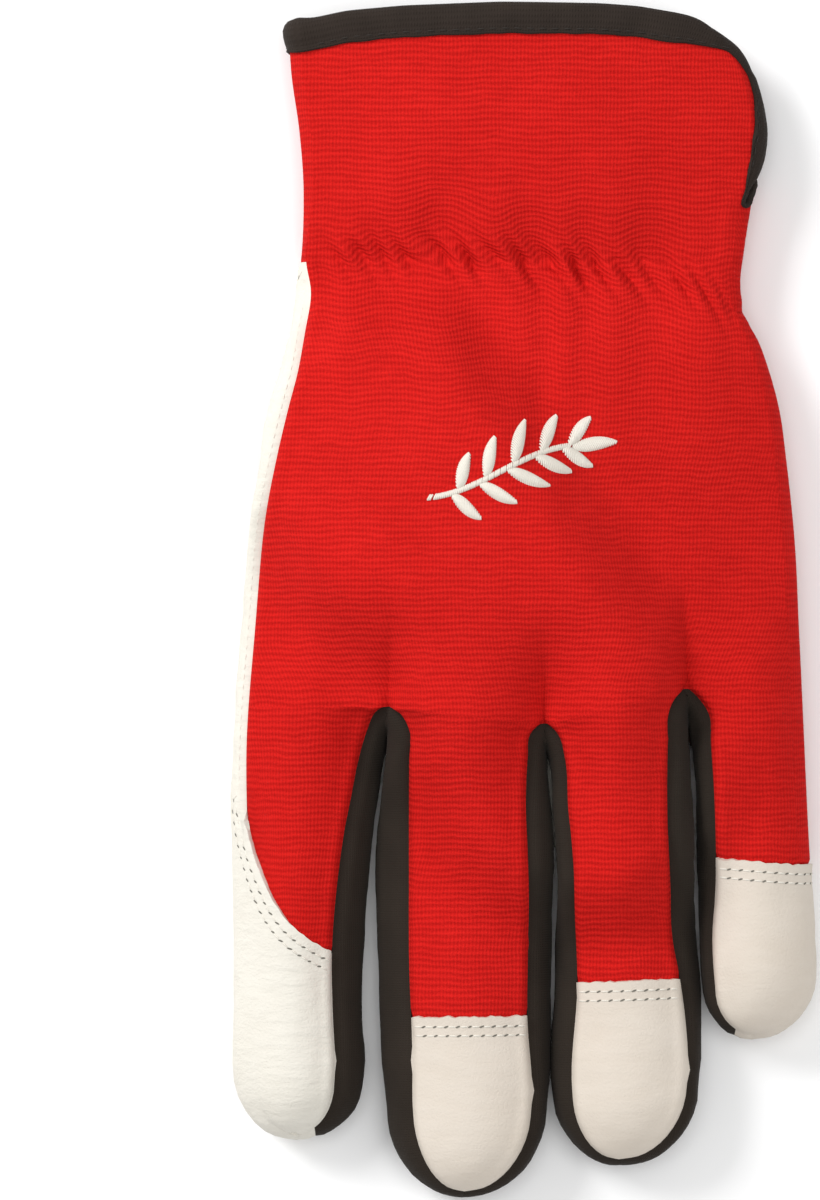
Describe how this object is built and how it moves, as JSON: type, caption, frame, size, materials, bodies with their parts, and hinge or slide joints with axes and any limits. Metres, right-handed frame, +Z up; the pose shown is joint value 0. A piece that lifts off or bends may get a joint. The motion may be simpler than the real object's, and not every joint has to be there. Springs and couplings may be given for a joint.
{
  "type": "work glove",
  "caption": "Left-hand work glove in pale cowhide with a red ribbed cloth back and cuff, dark side strips and palm patches, lying palm down with its thumb folded under.",
  "frame": {"origin": "middle of the glove's bounding box in plan, at the level that the glove lies on", "axes": "+X across the hand towards the little finger, +Y along the hand towards the cuff, +Z up out of the back of the hand"},
  "size_m": [0.1226, 0.25, 0.0355],
  "materials": {
    "red_cloth": "ribbed, matte",
    "cowhide": "soft split grain, matte",
    "dark_knit": "fine knit, matte",
    "dark_binding": "folded tape, matte",
    "patch_cloth": "coarse weave, matte"
  },
  "bodies": {
    "root": {"back_panel": "red_cloth", "palm_panel": "cowhide", "palm_cuff": "red_cloth", "middle_tip_cap": "cowhide", "ring_tip_cap": "cowhide", "little_tip_cap": "cowhide", "fourchette_index_middle": "dark_knit", "fourchette_middle_ring": "dark_knit", "fourchette_ring_little": "dark_knit", "cuff_binding": "dark_binding", "thumb_leather": "cowhide", "thumb_back": "red_cloth", "heel_patch": "patch_cloth", "knuckle_patch": "patch_cloth"}
  },
  "joints": []
}
